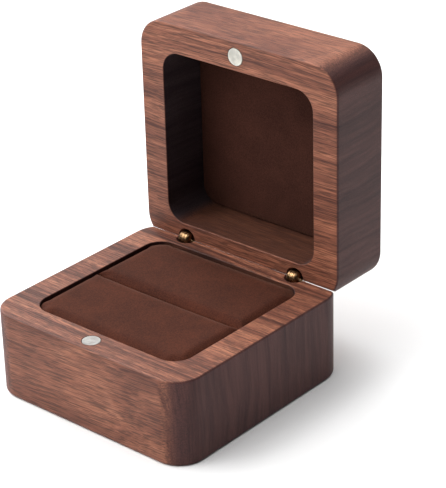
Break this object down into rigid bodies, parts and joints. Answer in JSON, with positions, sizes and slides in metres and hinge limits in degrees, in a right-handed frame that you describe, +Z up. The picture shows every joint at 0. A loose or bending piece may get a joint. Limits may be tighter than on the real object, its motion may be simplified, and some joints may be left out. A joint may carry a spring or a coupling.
{
  "type": "ring box",
  "caption": "Small square wooden ring box with a hinged lid, a slit ring cushion, a lined lid and a magnet closure; lid open at a right angle.",
  "frame": {"origin": "centre of the base's flat underside", "axes": "+X to the right along the hinge line, +Y from the front (magnets) to the rear (hinges), +Z up"},
  "size_m": [0.056, 0.0683, 0.0724],
  "materials": {
    "walnut": "oiled, open grain",
    "suede": "short-nap microfibre suede",
    "foam": "open-cell foam, hidden",
    "card": "pressed card, hidden",
    "brass": "polished, aged",
    "nickel": "satin nickel plate"
  },
  "bodies": {
    "base": {"base_block": "walnut", "base_magnet": "nickel", "cushion_backing_card": "card", "cushion_front_foam": "foam", "cushion_front_cover": "suede", "cushion_rear_foam": "foam", "cushion_rear_cover": "suede", "left_hinge_base_barrel": "brass", "left_hinge_base_fork": "brass", "left_hinge_base_rivet": "brass", "left_hinge_pin": "brass", "right_hinge_base_barrel": "brass", "right_hinge_base_fork": "brass", "right_hinge_base_rivet": "brass", "right_hinge_pin": "brass"},
    "lid": {"lid_block": "walnut", "lid_magnet": "nickel", "lid_lining_card": "card", "lid_lining_suede": "suede", "left_hinge_lid_barrel": "brass", "left_hinge_lid_tongue": "brass", "left_hinge_lid_rivet": "brass", "right_hinge_lid_barrel": "brass", "right_hinge_lid_tongue": "brass", "right_hinge_lid_rivet": "brass"}
  },
  "joints": [
    {"name": "lid_hinge", "type": "hinge", "parent": "base", "child": "lid", "pos_m": [0, 0.0246, 0.02035], "axis": [1, 0, 0], "range_deg": [0, 90]}
  ]
}
